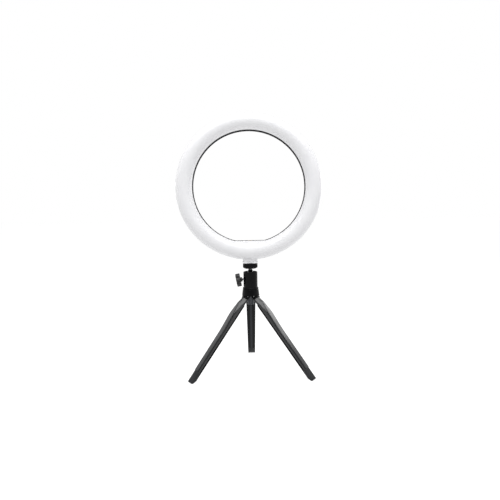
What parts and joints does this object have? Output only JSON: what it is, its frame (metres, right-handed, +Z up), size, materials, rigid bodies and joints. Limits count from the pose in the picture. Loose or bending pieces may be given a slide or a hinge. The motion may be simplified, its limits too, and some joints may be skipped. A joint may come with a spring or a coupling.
{
  "type": "tabletop ring light",
  "caption": "Round LED lamp with an open middle, on a ball head with a clamp knob and a folding three-legged mini tripod.",
  "frame": {"origin": "on the floor, below the middle of the tripod", "axes": "+Z up along the tripod's and the stem's axis; the lamp's lit side faces -Y; +X is to the right of someone who faces the lit side from the front; the back leg points to +Y"},
  "size_m": [0.26, 0.1865, 0.457],
  "materials": {
    "milky_plastic": "satin milky white",
    "charcoal_plastic": "fine matte texture",
    "board": "white solder mask",
    "led_phosphor": "phosphor yellow",
    "steel": "zinc plated",
    "brass": "turned",
    "white_plastic": "satin",
    "rubber": "matte, finely grained",
    "black_plastic": "satin black",
    "black_metal": "satin black anodised",
    "chrome": "polished",
    "nylon": "natural nylon",
    "gloss_black": "glossy black",
    "hub_plastic": "satin dark grey",
    "leg_plastic": "satin near-black",
    "cover_plastic": "satin charcoal"
  },
  "bodies": {
    "tripod_head": {"ball_housing": "black_metal", "ball_seat": "nylon", "base_plug": "steel", "collar": "black_plastic", "hub_core": "hub_plastic", "hinge_pins": "steel", "head_screw": "steel"},
    "clamp": {"clamp_knob": "gloss_black", "clamp_stud": "steel", "clamp_tip": "nylon"},
    "ball": {"ball": "chrome"},
    "stem": {"stem": "black_metal", "platform_stud": "steel"},
    "lock_disc": {"platform_disc": "black_plastic", "platform_pad": "rubber"},
    "lamp": {"diffuser": "milky_plastic", "rear_housing": "charcoal_plastic", "led_board": "board", "leds": "led_phosphor", "board_screws": "steel", "housing_screws": "steel", "power_socket": "steel", "socket_tongue": "black_plastic", "holder_insert": "brass", "neck_block": "white_plastic", "neck_insert": "brass", "neck_screws": "steel"},
    "leg_back": {"leg_back": "leg_plastic", "leg_cover_back": "cover_plastic", "foot_back": "rubber"},
    "leg_left": {"leg_left": "leg_plastic", "leg_cover_left": "cover_plastic", "foot_left": "rubber"},
    "leg_right": {"leg_right": "leg_plastic", "leg_cover_right": "cover_plastic", "foot_right": "rubber"}
  },
  "joints": [
    {"name": "side_tilt", "type": "hinge", "parent": "tripod_head", "child": "ball", "pos_m": [0, 0, 0.165], "axis": [0, 1, 0], "range_deg": [-20, 20]},
    {"name": "back_tilt", "type": "hinge", "parent": "ball", "child": "stem", "pos_m": [0, 0, 0.165], "axis": [-1, 0, 0], "range_deg": [-20, 90]},
    {"name": "lamp_turn", "type": "hinge", "parent": "stem", "child": "lamp", "pos_m": [0, 0, 0.191], "axis": [0, 0, 1], "continuous": true},
    {"name": "lock_disc_turn", "type": "hinge", "parent": "stem", "child": "lock_disc", "pos_m": [0, 0, 0.186], "axis": [0, 0, 1], "continuous": true},
    {"name": "clamp_turn", "type": "hinge", "parent": "tripod_head", "child": "clamp", "pos_m": [0, 0, 0.165], "axis": [-0.9816, 0, -0.1908], "range_deg": [0, 270]},
    {"name": "leg_back_fold", "type": "hinge", "parent": "tripod_head", "child": "leg_back", "pos_m": [0, 0.01, 0.134], "axis": [1, 0, 0], "range_deg": [-39.5, 0]},
    {"name": "leg_left_fold", "type": "hinge", "parent": "tripod_head", "child": "leg_left", "pos_m": [-0.00866, -0.005, 0.134], "axis": [-0.5, 0.866, 0], "range_deg": [-39.5, 0]},
    {"name": "leg_right_fold", "type": "hinge", "parent": "tripod_head", "child": "leg_right", "pos_m": [0.00866, -0.005, 0.134], "axis": [-0.5, -0.866, 0], "range_deg": [-39.5, 0]}
  ]
}
